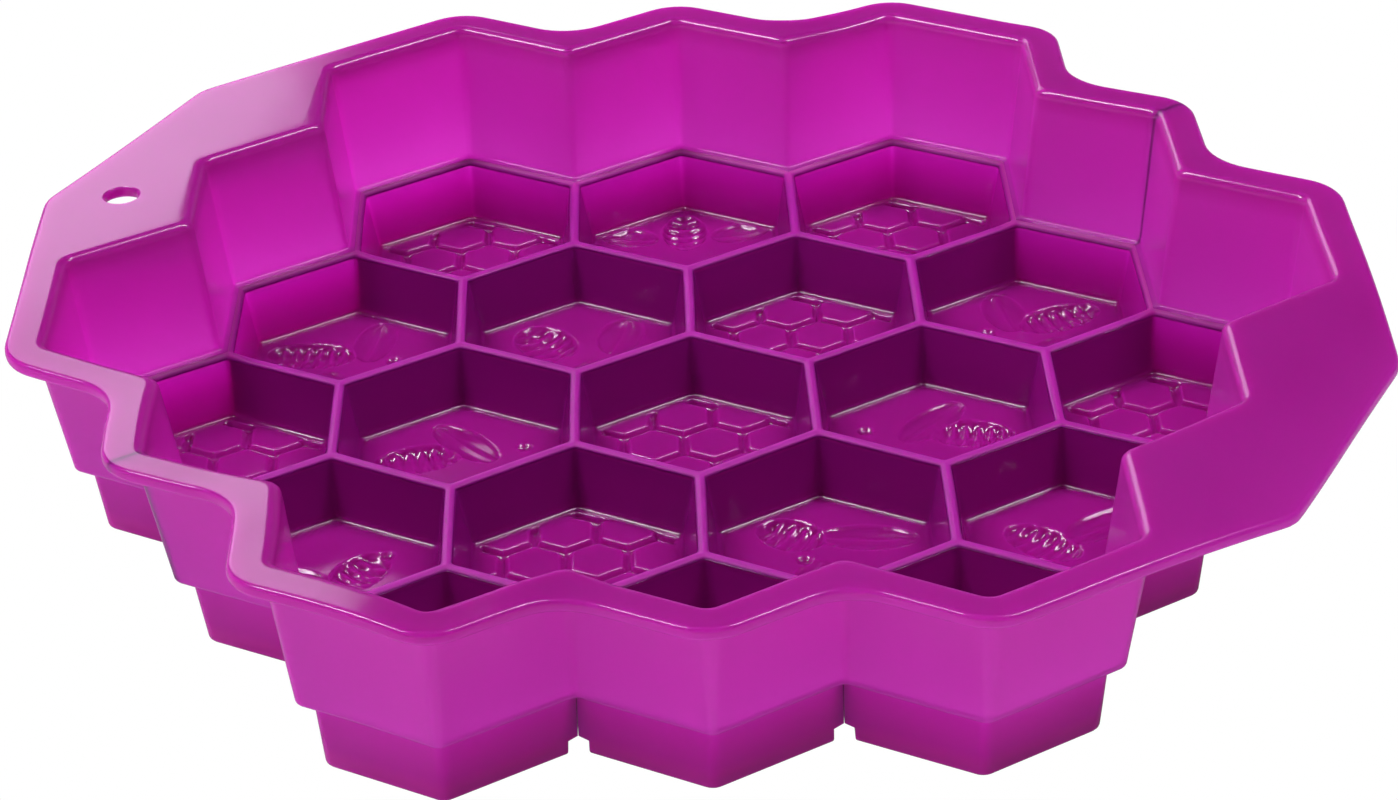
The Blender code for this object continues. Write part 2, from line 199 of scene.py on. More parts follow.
# Mesh density
CELL_STEPS = 48  # segments along a side of a cell's rings
ARC_STEPS = 8
STRAIGHT_STEPS = 16
PLATE_STEPS = 10
CREST_STEPS = 5
WALL_STEPS = 8
FILLET_STEPS = 6
FOOT_STEPS = 4

# Reliefs, sunk into the floors
RELIEF_MARGIN = 0.9 * MM  # over which a relief fades out at the floor's edge
GROOVE_DEPTH = 1.25 * MM
GROOVE_WIDTH = 2.3 * MM
GROOVE_SIDE = 0.42 * GROOVE_WIDTH
TILE_PITCH = 11.4 * MM
TILE_SHIFT = (3.4 * MM, 4.4 * MM)
TILE_SPAN = range(-3, 4)  # rows and columns of tiles that can reach a floor
BEE_BODY_DEPTH = 1.9 * MM
BEE_BODY_POWER = 0.6  # lower is a steeper edge and a flatter middle
BEE_WING_DEPTH = 1.0 * MM
BEE_WING_POWER = 0.5
BEE_VEIN_HEIGHT = 0.25 * MM
BEE_VEIN_WIDTH = 0.7 * MM
BEE_KNOB_DEPTH = 0.8 * MM
BEE_KNOB_OVAL = (1.5, 1.3, 0)  # half length and half width in mm, and turn
BEE_RIB_PITCH = 2.4 * MM
BEE_BEAD_PITCH = 4.4 * MM
BEE_RIB_DEPTH = 0.34 * MM
BEE_RIB_LEAST = 0.3  # share of the ribs' depth that is left between the beads
BEE_DETAIL_EDGE = 0.3  # how deep inside an oval its ribs or vein are whole
# Each bee, in mm from its cell's centre and degrees: its ribbed body and its two wings are ovals, as
# x, y, half length, half width and turn, and the last x and y are the place of a small round dimple
BEES = {
    "r1c2": ((0, 11, 7.5, 4.6, 90), (-11.5, 10, 6, 3.8, 165), (11.5, 10, 6, 3.8, 15), (14, 12)),
    "r2c1": ((-8.5, 5.5, 9, 4.8, 172), (4, 9.5, 7.6, 4, 80), (-3, -8, 7, 4, 110), (8, 2)),
    "r2c2": ((-6.5, 6, 7.5, 5.6, 125), (8.5, 7.5, 7.2, 4.4, 75), (1, -8, 7, 4, 60), (-12, -3)),
    "r2c4": ((6.5, 6.5, 9, 4.8, 22), (-4, 9.5, 7.6, 4, 100), (3, -8, 7, 4, 70), (-8, 2)),
    "r3c2": ((-8, 3, 8.5, 4.8, 12), (0.8, 8, 9, 3.8, -50), (4, -8, 7, 4, 30), (12.2, 5.5)),
    "r3c4": ((7.5, 3, 8.5, 4.8, 168), (0.4, 7.6, 9, 3.8, 48), (-4, -8, 7, 4, 150), (-12.4, 5.6)),
    "r4c1": ((5.5, 4, 7, 4.6, 55), (-6.5, 2, 8.5, 4.2, 155), (0, -9, 7, 4, 20), (10, 9)),
    "r4c3": ((-6, 9.5, 6.6, 5, 150), (8, 7.5, 9.2, 4, -8), (-3, -6, 7, 4, 70), (-4, 1)),
    "r4c4": ((-5.5, 3, 8, 4.6, -42), (6, 8, 9, 4, 32), (-9, -7, 6, 4, 80), (12.5, 2)),
    "r5c2": ((0, 3, 7.5, 4.6, 90), (-11, 2, 6, 3.8, 165), (11, 2, 6, 3.8, 15), (0, 13)),
}

# Room: plain white to the camera, and dimmed where the silicone reflects it
HORIZON_LIGHT = 2.8
HORIZON_HEIGHTS = (0.14, 0.32)  # sines of the elevations where the bright horizon starts and stops to fade
HORIZON_LEAN = 0.75  # how much brighter the left is than the right
CEILING_LIGHT = 0.06
ROOM_GLOSSY_SHARE = 0.07  # of the room's light that shows in reflections
TABLE_SIZE = 12.0
TABLE_WHITE = 0.9
TABLE_ROUGHNESS = 0.7
TABLE_GLOW = 0.12
TABLE_GLOSSY_SHARE = 0.4
# Soft boxes: place, size in metres and power in watts
SOFT_BOX_COLOUR = (0.93, 0.82, 1.0)
SOFT_BOXES = {
    "left_key": ((-0.62, 0.1, 1.2), (0.2, 0.55), 9),
    "right_key": ((0.62, 0.1, 1.2), (0.2, 0.55), 7.5),
    "back_left": ((-0.5, 1.2, 0.72), (0.6, 0.6), 3.5),
}

# Silicone
CLOUDING = 0.07
CLOUD_SCALE = 28
SMEAR_SCALE = 60
SMEAR_ROUGHNESS = (-0.05, 0.06)  # least and most that smears add
GRAIN_SCALE = 1400
GRAIN_STRENGTH = 0.06
GRAIN_DEPTH = 0.1 * MM
SILICONE_IOR = 1.47
SOAK_COLOUR = (1.0, 0.4, 0.85)  # how far each colour of light soaks in, as shares of the depth
# Painted shade: the darker colour of the wells' walls.
WELL_PAINTED_SHADE = (0.36, 0.007, 0.27)
# Colours by height, with painted light and shade in them
# Painted shade: the skirt's colour darkens up to the rim's top, so the rim and tabs read darker than the wall
# below.
SHELL_PAINTED_SHADE = (
    (RIM_BOTTOM - 2 * MM, (0.40, 0.024, 0.31)),
    (RIM_TOP - 0.5 * MM, (0.33, 0.014, 0.24)),
)
# Painted light and shade: paler floors, darker well walls, and much paler divider crests and ledge.
CELL_PAINTED_LIGHT_AND_SHADE = (
    (FLOOR_TOP, (0.40, 0.010, 0.275)),
    (FLOOR_TOP + 2 * MM, WELL_PAINTED_SHADE),
    (DIVIDER_TOP - 1.2 * MM, WELL_PAINTED_SHADE),
    (DIVIDER_TOP, (0.86, 0.010, 0.44)),
    (LEDGE_TOP, (0.62, 0.040, 0.42)),
)

# Camera
SENSOR_WIDTH = 36
LENS = 92.0
CAMERA_PLACE = Vector((-0.00236, -0.57724, 0.36073))
CAMERA_DIRECTION = Vector((0.0049, 0.8578, -0.5139))
CAMERA_ROLL = math.radians(-2.53)


def direction(angle):
    """Unit vector in plan, counter-clockwise from +X."""
    return np.array([math.cos(angle), math.sin(angle)])


def smoothstep(x):
    """Smooth rise from 0 at 0 to 1 at 1, flat beyond."""
    x = np.clip(x, 0, 1)
    return x * x * (3 - 2 * x)


def mesh_object(name, points, faces, sharp_angle=40):
    """A smooth-shaded mesh, with its steep edges kept sharp."""
    mesh = bpy.data.meshes.new(name)
    mesh.from_pydata([tuple(p) for p in points], [], faces)
    mesh.validate()
    mesh.shade_smooth()
    mesh.set_sharp_from_angle(angle=math.radians(sharp_angle))
    obj = bpy.data.objects.new(name, mesh)
    bpy.context.scene.collection.objects.link(obj)
    return obj


def ring_faces(rows, count, first=0):
    """Quads between successive closed rings of count points."""
    faces = []
    for row in range(rows - 1):
        low = first + row * count
        high = low + count
        for i in range(count):
            j = (i + 1) % count
            faces.append((low + i, low + j, high + j, high + i))
    return faces


# Waviness of the soft walls

noise.seed_set(WAVE_SEED)  # otherwise the noise differs from run to run


def wavy(points):
    """Every piece goes through the same gentle distortion, so pieces that meet still meet."""
    moved = np.array(points, float)
    for point in moved:
        shift = noise.noise_vector(Vector(point * WAVES_PER_METRE))
        weight = float(smoothstep((point[2] - FLOOR_TOP) / (DIVIDER_TOP - FLOOR_TOP)))
        point += WAVE_REACH * weight * np.array(shift)
    height = np.clip(moved[:, 2] / RIM_TOP, 0, 1)
    for middle, radius, push in LEANS:
        near = np.exp(-(np.hypot(*(moved[:, :2] - middle).T) / radius) ** 2)
        moved[:, :2] += np.outer(near * (LEAN_AT_BASE + (1 - LEAN_AT_BASE) * height), push)
    return moved


# Cells


def open_sides(cell):
    """Which of a cell's six sides have no cell behind them, counter-clockwise from +X."""
    found = []
    for k in range(6):
        beyond = CENTRES[cell] + direction(math.radians(60 * k)) * PITCH
        found.append(all(np.hypot(*(beyond - other)) > SIDE for other in CENTRES.values()))
    return found


def cell_ring(apothems, radii):
    """Hexagon with its own distance for every side and its own radius for every corner, about (0, 0).

    The points run counter-clockwise from the corner before side 0, and radius k belongs to the
    corner between sides k and k + 1.
    """
    points = []
    half_corner = math.pi / 6
    for k in range(6):
        outward = direction(math.radians(60 * k))
        along = np.array([-outward[1], outward[0]])
        here = apothems[k]
        start_radius, end_radius = radii[k - 1], radii[k]
        start = -(apothems[k - 1] - here / 2) / math.cos(half_corner) + start_radius * math.tan(half_corner)
        end = (apothems[(k + 1) % 6] - here / 2) / math.cos(half_corner) - end_radius * math.tan(half_corner)
        first_arc, last_arc = start_radius * half_corner, end_radius * half_corner
        length = first_arc + (end - start) + last_arc
        for step in range(CELL_STEPS):
            s = length * step / CELL_STEPS
            if s < first_arc:
                spoke = s / start_radius - half_corner
                x, y = here - start_radius * (1 - math.cos(spoke)), start + start_radius * math.sin(spoke)
            elif s > length - last_arc:
                spoke = (s - length + last_arc) / end_radius
                x, y = here - end_radius * (1 - math.cos(spoke)), end + end_radius * math.sin(spoke)
            else:
                x, y = here, start + s - first_arc
            points.append(outward * x + along * y)
    return np.array(points)


def level(plan, z):
    """A plan ring at one height, or at a height for each point."""
    return np.column_stack([plan, np.broadcast_to(z, len(plan))])


def well_apothem(z):
    """Distance of a well's wall from the cell's axis."""
    return WELL_FLOOR + WELL_DRAFT * (z - FLOOR_TOP)


def ledge_share(sides):
    """How much each point of a cell's ring belongs to the ledge: fully along the cell's open sides."""
    ledge = np.zeros(6 * CELL_STEPS)
    for k in range(6):
        for step in range(CELL_STEPS):
            before, after = step * SIDE / CELL_STEPS, (CELL_STEPS - step) * SIDE / CELL_STEPS
            nearest = min(
                before if sides[k - 1] else math.inf,
                after if sides[(k + 1) % 6] else math.inf,
            )
            share = 1.0 if sides[k] else 1 - smoothstep(nearest / LEDGE_LIFT_LENGTH)
            ledge[k * CELL_STEPS + step] = share
    for k in range(6):
        if sides[k - 1]:
            ledge[k * CELL_STEPS] = 1
    return ledge


def crest_profile():
    """From the line halfway between two cells into the well: distance from that line, and depth."""
    fillet_start = HALF_PITCH - WELL_TOP - CREST_FILLET
    profile = [(0, 0), (fillet_start / 2, CREST_CROWN_HALFWAY), (fillet_start, CREST_CROWN)]
    for step in range(1, CREST_STEPS + 1):
        turn = CREST_SWEEP * step / CREST_STEPS
        inset = fillet_start + CREST_FILLET * math.sin(turn)
        profile.append((inset, CREST_CROWN + CREST_FILLET * (1 - math.cos(turn))))
    return profile


def divider_lattice():
    """Rounded tops of all the walls between and round the wells, as one closed net."""
    points, faces = [], []
    known = {}

    def shared(point):
        key = tuple(np.round(point / SAME_POINT).astype(int))
        if key not in known:
            known[key] = len(points)
            points.append(point)
        return known[key]

    for cell, centre in CENTRES.items():
        sides = open_sides(cell)
        ledge = ledge_share(sides)
        rings = []
        for inset, depth in crest_profile():
            apothem = HALF_PITCH - inset
            radius = WELL_CORNER_RADIUS * min(1, inset / CREST_CORNER_LENGTH)
            fade = max(0.0, 1 - depth / (2 * CREST_FILLET))
            plan = cell_ring([apothem] * 6, [radius] * 6)
            round_depth = LEDGE_FILLET - math.sqrt(LEDGE_FILLET**2 - inset**2)
            height = DIVIDER_TOP - depth + ledge * (depth - round_depth + LEDGE_LIFT * fade)
            rings.append(level(plan, height))
        last = rings[-1][0][2]
        for share in (0.5, 1):
            z = last + (WELL_SEAM - last) * share
            rings.append(level(cell_ring([well_apothem(z)] * 6, [WELL_CORNER_RADIUS] * 6), z))
        rings.append(level(cell_ring([HALF_PITCH] * 6, [0] * 6), WELL_SEAM))
        numbered = [[shared(p + [centre[0], centre[1], 0]) for p in ring] for ring in rings]
        count = 6 * CELL_STEPS
        for low, high in zip(numbered, numbered[1:]):
            for i in range(count):
                j = (i + 1) % count
                faces.append((low[i], low[j], high[j], high[i]))
        for k in range(6):
            if sides[k]:
                for i in range(k * CELL_STEPS, (k + 1) * CELL_STEPS):
                    j = (i + 1) % count
                    faces.append((numbered[-1][i], numbered[-1][j], numbered[0][j], numbered[0][i]))
    return mesh_object("divider_tops", wavy(points), faces, sharp_angle=60)


def hexagon_distance(x, y):
    """Distance from the centre, measured so that every point on a hexagon's sides is at its apothem."""
    slanted = 0.5 * np.abs(x) + math.sqrt(0.75) * np.abs(y)
    return np.maximum(np.abs(x), slanted)


def comb_relief(x, y):
    """Depth of the honeycomb grooves."""
    row_pitch = TILE_PITCH * math.sqrt(3) / 2
    nearest = np.full(x.shape, np.inf)
    for row in TILE_SPAN:
        for column in TILE_SPAN:
            tile_x = TILE_SHIFT[0] + (column + (row % 2) / 2) * TILE_PITCH
            tile_y = TILE_SHIFT[1] + row * row_pitch
            nearest = np.minimum(nearest, hexagon_distance(x - tile_x, y - tile_y))
    past_edge = nearest - (TILE_PITCH - GROOVE_WIDTH) / 2
    return GROOVE_DEPTH * smoothstep(past_edge / GROOVE_SIDE)


def oval(x, y, shape):
    """Coordinates along and across an oval, and how deep inside it each point is.

    The depth is 1 in the oval's middle and 0 from its edge out.
    """
    middle_x, middle_y, half_length, half_width = (value * MM for value in shape[:4])
    turn = math.radians(shape[4])
    dx, dy = x - middle_x, y - middle_y
    along = math.cos(turn) * dx + math.sin(turn) * dy
    across = -math.sin(turn) * dx + math.cos(turn) * dy
    inside = 1 - (along / half_length) ** 2 - (across / half_width) ** 2
    return along, across, np.clip(inside, 0, None)


def bee_relief(x, y, bee):
    """Depth of a bee: a ribbed body with two rows of beads, wings with a vein, and a round dimple."""
    body, *wings, knob = bee
    along, across, inside = oval(x, y, body)
    rows = BEE_RIB_LEAST + (1 - BEE_RIB_LEAST) * np.sin(math.pi * across / BEE_BEAD_PITCH) ** 2
    beads = rows * np.cos(2 * math.pi * along / BEE_RIB_PITCH)
    detail = smoothstep(inside / BEE_DETAIL_EDGE)
    depth = BEE_BODY_DEPTH * inside**BEE_BODY_POWER + BEE_RIB_DEPTH * beads * detail
    for wing in wings:
        along, across, inside = oval(x, y, wing)
        detail = smoothstep(inside / BEE_DETAIL_EDGE)
        vein = BEE_VEIN_HEIGHT * np.exp(-((across / BEE_VEIN_WIDTH) ** 2)) * detail
        depth = np.maximum(depth, BEE_WING_DEPTH * inside**BEE_WING_POWER - vein)
    inside = oval(x, y, (*knob, *BEE_KNOB_OVAL))[2]
    return np.maximum(depth, BEE_KNOB_DEPTH * inside**BEE_BODY_POWER)


def floor_grid(apothem):
    """Even triangles over a hexagon: points from the outer ring in, and faces."""
    points, faces = [], []
    starts = []
    for k in range(CELL_STEPS, 0, -1):
        starts.append(len(points))
        circumradius = apothem * k / CELL_STEPS / math.cos(math.pi / 6)
        corners = [direction(math.radians(60 * j - 30)) * circumradius for j in range(7)]
        for side in range(6):
            for step in range(k):
                points.append(corners[side] + (corners[side + 1] - corners[side]) * step / k)
    starts.append(len(points))
    points.append(np.zeros(2))
    for ring, k in enumerate(range(CELL_STEPS, 0, -1)):
        outer, inner = starts[ring], starts[ring + 1]
        for side in range(6):
            for step in range(k):
                here = outer + side * k + step
                there = outer + (side * k + step + 1) % (6 * k)
                if k == 1:
                    faces.append((here, there, inner))
                    continue
                near = inner + (side * (k - 1) + step) % (6 * (k - 1))
                faces.append((here, there, near))
                if step < k - 1:
                    far = inner + (side * (k - 1) + step + 1) % (6 * (k - 1))
                    faces.append((near, there, far))
    return np.array(points), faces


def floor_profile():
    """From the seam down a well's wall and round its fillet: apothem and height, and the floor's apothem."""
    sweep = math.pi / 2 - math.atan(WELL_DRAFT)
    floor_edge = WELL_FLOOR - FLOOR_FILLET * math.tan(sweep / 2)
    arc = []
    for step in range(FILLET_STEPS, 0, -1):
        turn = sweep * step / FILLET_STEPS
        apothem = floor_edge + FLOOR_FILLET * math.sin(turn)
        arc.append((apothem, FLOOR_TOP + FLOOR_FILLET * (1 - math.cos(turn))))
    wall_low = arc[0][1]
    wall = []
    for step in range(WALL_STEPS):
        z = WELL_SEAM + (wall_low - WELL_SEAM) * step / WALL_STEPS
        wall.append((well_apothem(z), z))
    return wall + arc, floor_edge


def cup_out(z):
    """Distance of an edge cup's outer face from the cell's axis."""
    share = z / SKIRT_BOTTOM
    return HALF_PITCH - FOOT_INSET + (FOOT_INSET + CUP_STEP_OUT) * share


def cup_outside(sides):
    """Rings of a cup's outer face, from its foot up to the seam with the lattice."""
    plane = HALF_PITCH - CUP_CLEARANCE
    foot = HALF_PITCH - FOOT_INSET
    corner_radii = [
        CUP_CORNER_RADIUS if sides[k] and sides[(k + 1) % 6] else 0 for k in range(6)
    ]
    on_open = np.array([sides[i // CELL_STEPS] for i in range(6 * CELL_STEPS)])
    for k in range(6):
        on_open[k * CELL_STEPS] = sides[k] or sides[k - 1]

    def ring(open_apothem, open_z, shared_apothem, shared_z, inset=0.0, rounded=True):
        apothems = [(open_apothem if side else shared_apothem) - inset for side in sides]
        radii = corner_radii if rounded else [0] * 6
        return level(cell_ring(apothems, radii), np.where(on_open, open_z, shared_z))

    rings = []
    for step in range(FOOT_STEPS):
        turn = math.pi / 2 * step / FOOT_STEPS
        inset = FOOT_EDGE_RADIUS * (1 - math.sin(turn))
        z = FOOT_EDGE_RADIUS * (1 - math.cos(turn))
        rings.append(ring(cup_out(z), z, foot, z, inset=inset))
    for z in (FOOT_EDGE_RADIUS, WEB_LOW):
        rings.append(ring(cup_out(z), z, foot, z))
    for z in CUP_SIDE_HEIGHTS:
        rings.append(ring(cup_out(z), z, plane, z))
    rings.append(ring(cup_out(LIP_LOW), LIP_LOW, plane, WELL_SEAM - SHARED_WALL_TOP))
    rings.append(ring(LIP_OUT, LIP_LOW, plane, WELL_SEAM, rounded=False))
    rings.append(ring(LIP_OUT, WELL_SEAM, plane - SHARED_WALL_SHELF, WELL_SEAM, rounded=False))
    return rings


def cup(cell):
    """Wall, floor and foot of one cell, closed all round."""
    centre = CENTRES[cell]
    profile, floor_edge = floor_profile()
    inside = [level(cell_ring([apothem] * 6, [WELL_CORNER_RADIUS] * 6), z) for apothem, z in profile]
    grid, grid_faces = floor_grid(floor_edge)
    x, y = grid[:, 0], grid[:, 1]
    depth = bee_relief(x, y, BEES[cell]) if cell in BEES else comb_relief(x, y)
    fade = smoothstep((floor_edge - hexagon_distance(x, y)) / RELIEF_MARGIN)
    floor = level(grid, FLOOR_TOP - depth * fade)

    rings = cup_outside(open_sides(cell)) + inside
    count = 6 * CELL_STEPS
    first_floor = len(rings) * count
    faces = ring_faces(len(rings), count)
    faces += ring_faces(2, count, first=first_floor - count)
    faces += [tuple(first_floor + i for i in face) for face in grid_faces]
    faces.append(tuple(reversed(range(count))))
    points = np.vstack(rings + [floor]) + [centre[0], centre[1], 0]
    piece = mesh_object("cup_" + cell, wavy(points), faces, sharp_angle=58)
    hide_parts("cell_wall_" + cell, FLOOR_NODES[cell])
    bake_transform(piece)
    return piece


# Skirt, rim and tabs


def comb_outline():
    """The comb's outer zigzag, counter-clockwise."""
    following = {}
    for cell, centre in CENTRES.items():
        for k, is_open in enumerate(open_sides(cell)):
            if is_open:
                start = centre + direction(math.radians(60 * k - 30)) * SIDE
                end = centre + direction(math.radians(60 * k + 30)) * SIDE
                following[tuple(np.round(start / MM).astype(int))] = end
    key = min(following)
    outline = []
    while len(outline) < len(following):
        outline.append(following[key])
        key = tuple(np.round(outline[-1] / MM).astype(int))
    return outline


OUTLINE = comb_outline()


def turned(vector, angle):
    """A plan vector turned counter-clockwise."""
    cosine, sine = math.cos(angle), math.sin(angle)
    return np.array([cosine * vector[0] - sine * vector[1], sine * vector[0] + cosine * vector[1]])


def zigzag_ring(out, convex_radius, concave_radius):
    """The zigzag moved out, with an arc at every corner and even steps between them."""
    arcs = []
    for i, corner in enumerate(OUTLINE):
        before = (corner - OUTLINE[i - 1]) / SIDE
        after = (OUTLINE[(i + 1) % len(OUTLINE)] - corner) / SIDE
        normal = np.array([before[1], -before[0]])
        next_normal = np.array([after[1], -after[0]])
        turn = math.asin(before[0] * after[1] - before[1] * after[0])
        reach = convex_radius if turn > 0 else -concave_radius
        middle = corner + (normal + next_normal) / (1 + normal @ next_normal) * (out - reach)
        spokes = [turned(normal, turn * step / ARC_STEPS) for step in range(ARC_STEPS + 1)]
        arcs.append([middle + reach * spoke for spoke in spokes])
    points = []
    for i, arc in enumerate(arcs):
        points += arc
        following = arcs[(i + 1) % len(arcs)][0]
        for step in range(1, STRAIGHT_STEPS):
            points.append(arc[-1] + (following - arc[-1]) * step / STRAIGHT_STEPS)
    return np.array(points)


def tab_axes(tab):
    """Unit vectors along a tab's hinge line and out from it."""
    out = TABS[tab] / TAB_HINGE_OUT
    return np.array([out[1], -out[0]]), out


def tab_edge(run, inset):
    """Point of a tab's edge, along it and out, at a run from its middle: straight, with rounded corners."""
    half = 2 * TAB_SIDE_OUT - math.sqrt(3) * TAB_EDGE_OUT
    arc_start = half - TAB_CORNER_RADIUS * math.tan(math.pi / 12)
    arc_width = TAB_CORNER_RADIUS / 2
    place = abs(run)
    if place < arc_start:
        point, normal = (place, TAB_EDGE_OUT), (0, 1)
    elif place < arc_start + arc_width:
        past = place - arc_start
        rise = math.sqrt(TAB_CORNER_RADIUS**2 - past**2)
        point = (place, TAB_EDGE_OUT - TAB_CORNER_RADIUS + rise)
        normal = (past / TAB_CORNER_RADIUS, rise / TAB_CORNER_RADIUS)
    else:
        point = (place, (2 * TAB_SIDE_OUT - place) / math.sqrt(3))
        normal = (0.5, math.sqrt(0.75))
    x, y = point[0] - normal[0] * inset, point[1] - normal[1] * inset
    return math.copysign(x, run), y


def rim_ring(inset):
    """Outer edge of the flange, and of the tabs where there are any, moved in."""
    ring = zigzag_ring(RIM_OUT - inset, RIM_CONVEX_RADIUS - inset, RIM_CONCAVE_RADIUS + inset)
    inner = zigzag_ring(RIM_IN, INNER_CORNER_RADIUS, INNER_CORNER_RADIUS)
    for tab in TABS:
        along, out = tab_axes(tab)
        runs = inner @ along
        zone = (np.abs(runs) < TAB_ZONE_HALF) & (inner @ out > TAB_ZONE_OUT)
        spread = TAB_HALF / np.abs(runs[zone]).max()
        for i in np.flatnonzero(zone):
            x, y = tab_edge(runs[i] * spread, inset)
            ring[i] = along * x + out * y
    return ring


def between(first, last, count):
    """Rows between two rows of points, without the two themselves."""
    return [first + (last - first) * step / (count + 1) for step in range(1, count + 1)]


def arc_steps(count, start_deg, end_deg):
    """Angles of an arc's points, in radians."""
    return [math.radians(start_deg + (end_deg - start_deg) * step / count) for step in range(count + 1)]


def inner_ring(out, z):
    """Ring of the skirt's inner face, whose corners get rounder with its distance from the comb."""
    convex = INNER_CORNER_RADIUS + CONVEX_GROWTH * out
    return level(zigzag_ring(out, convex, INNER_CORNER_RADIUS + CONCAVE_GROWTH * out), z)


def outer_ring(out, z):
    """Ring of the skirt's outer face, whose inward corners all have one radius."""
    convex = INNER_CORNER_RADIUS + CONVEX_GROWTH * out
    return level(zigzag_ring(out, convex, OUTER_CONCAVE_RADIUS), z)


def inner_out(z):
    """Distance of the skirt's inner face from the comb."""
    return SKIRT_IN_LOW + SKIRT_LEAN_IN * (z - LEDGE_TOP)


def inner_rows():
    """Rings up the inside of the skirt: against the comb, over the ledge, up the wall to the rim's fillet.

    The fillets stop a few degrees short of a right angle, because the wall leans.
    """
    bend_out, bend_up = SKIRT_FOOT_BEND
    rows = [
        inner_ring(0, SKIRT_BOTTOM),
        inner_ring(0, LEDGE_TOP),
        inner_ring(bend_out, LEDGE_TOP + bend_up),
    ]
    foot_out = inner_out(LEDGE_TOP) - SKIRT_FOOT_FILLET
    for turn in arc_steps(4, 0, 84):
        z = LEDGE_TOP + SKIRT_FOOT_RISE + SKIRT_FOOT_FILLET * (1 - math.cos(turn))
        rows.append(inner_ring(foot_out + SKIRT_FOOT_FILLET * math.sin(turn), z))
    for share in (0.08, 0.2, 0.35, 0.5, 0.65, 0.8, 0.9):
        z = LEDGE_TOP + share * (RIM_TOP - LEDGE_TOP)
        rows.append(inner_ring(inner_out(z), z))
    fillet_out = inner_out(RIM_TOP - RIM_IN_FILLET)
    for turn in arc_steps(6, 0, 86):
        z = RIM_TOP - RIM_IN_FILLET * (1 - math.sin(turn))
        rows.append(inner_ring(fillet_out + RIM_IN_FILLET * (1 - math.cos(turn)), z))
    return rows


def edge_rows():
    """Rings round the outer edge of the rim and the tabs, from their top face to their underside."""
    rows = []
    for turn in arc_steps(5, 0, 90):
        inset = RIM_EDGE_RADIUS * (1 - math.sin(turn))
        rows.append(level(rim_ring(inset), RIM_TOP - RIM_EDGE_RADIUS * (1 - math.cos(turn))))
    for turn in arc_steps(5, 90, 0):
        inset = RIM_EDGE_RADIUS * (1 - math.sin(turn))
        rows.append(level(rim_ring(inset), RIM_BOTTOM + RIM_EDGE_RADIUS * (1 - math.cos(turn))))
    return rows


def outer_rows():
    """Rings down the outside of the skirt: the fillet under the rim, the wall and the rounded bottom edge."""
    rows = []
    for turn in arc_steps(5, 90, 6):
        out = SKIRT_OUT_HIGH + UNDER_RIM_FILLET * (1 - math.cos(turn))
        rows.append(outer_ring(out, RIM_BOTTOM - UNDER_RIM_FILLET * (1 - math.sin(turn))))
    for share in (0.85, 0.7, 0.55, 0.4, 0.25, 0.15):
        z = SKIRT_BOTTOM + share * (RIM_BOTTOM - SKIRT_BOTTOM)
        rows.append(outer_ring(SKIRT_OUT_LOW + SKIRT_LEAN_OUT * (z - SKIRT_BOTTOM), z))
    edge_out = SKIRT_OUT_LOW + SKIRT_LEAN_OUT * SKIRT_EDGE_RADIUS
    for turn in arc_steps(6, 0, 90):
        out = edge_out - SKIRT_EDGE_RADIUS * (1 - math.cos(turn))
        rows.append(outer_ring(out, SKIRT_BOTTOM + SKIRT_EDGE_RADIUS * (1 - math.sin(turn))))
    return rows


def shell_rows():
    """All the rings of the skirt, rim and tabs, up the inside, over the top and down the outside."""
    inner = inner_rows()
    edge = edge_rows()
    outer = outer_rows()
    top = between(inner[-1], edge[0], PLATE_STEPS)
    underside = between(edge[-1], outer[0], PLATE_STEPS)
    return inner + top + edge + underside + outer


def rim_lift(points):
    """The soft rim isn't quite level: how much higher it stands at each point's bearing."""
    bearings = np.degrees(np.arctan2(points[:, 1], points[:, 0])) % 360
    stations = np.array(sorted(RIM_LIFTS) + [360])
    lifts = np.array([RIM_LIFTS[station % 360] for station in stations])
    at = np.clip(np.searchsorted(stations, bearings, side="right") - 1, 0, len(stations) - 2)
    share = smoothstep((bearings - stations[at]) / (stations[at + 1] - stations[at]))
    return lifts[at] + (lifts[at + 1] - lifts[at]) * share


def sag_share(out):
    """How far out a place on a tab is: 0 up to where the tab starts to sag, and 1 at its edge."""
    return np.clip((out - SAG_START_OUT) / (TAB_EDGE_OUT - SAG_START_OUT), 0, None)


def sagged(points):
    """Both tabs hang a little under their own weight, and the rim waves."""
    moved = np.array(points)
    height = smoothstep((points[:, 2] - DIVIDER_TOP) / (RIM_TOP - DIVIDER_TOP))
    moved[:, 2] += rim_lift(points) * height
    for tab in TABS:
        share = sag_share(points[:, :2] @ tab_axes(tab)[1])
        moved[:, 2] -= TAB_SAGS[tab] * share**SAG_POWER * height
    return moved


def half_shell(rows, first, tab):
    """Half of the ring of skirt and rim, with its tab, between two of its corners."""
    total = len(rows[0])
    columns = [(first + i) % total for i in range(total // 2 + 1)]
    width = len(columns)
    points = sagged(np.vstack([row[columns] for row in rows]))
    faces = []
    count = len(rows)
    for row in range(count):
        here = row * width
        there = ((row + 1) % count) * width
        for i in range(width - 1):
            faces.append((here + i, there + i, there + i + 1, here + i + 1))
    faces.append(tuple(row * width for row in reversed(range(count))))
    faces.append(tuple(row * width + width - 1 for row in range(count)))
    return mesh_object("skirt_and_" + tab, wavy(points), faces, sharp_angle=50)


def hole_middle():
    """Middle of the hanging hole in plan."""
    along, out = tab_axes("hanging_tab")
    return along * HOLE_ALONG + out * HOLE_OUT


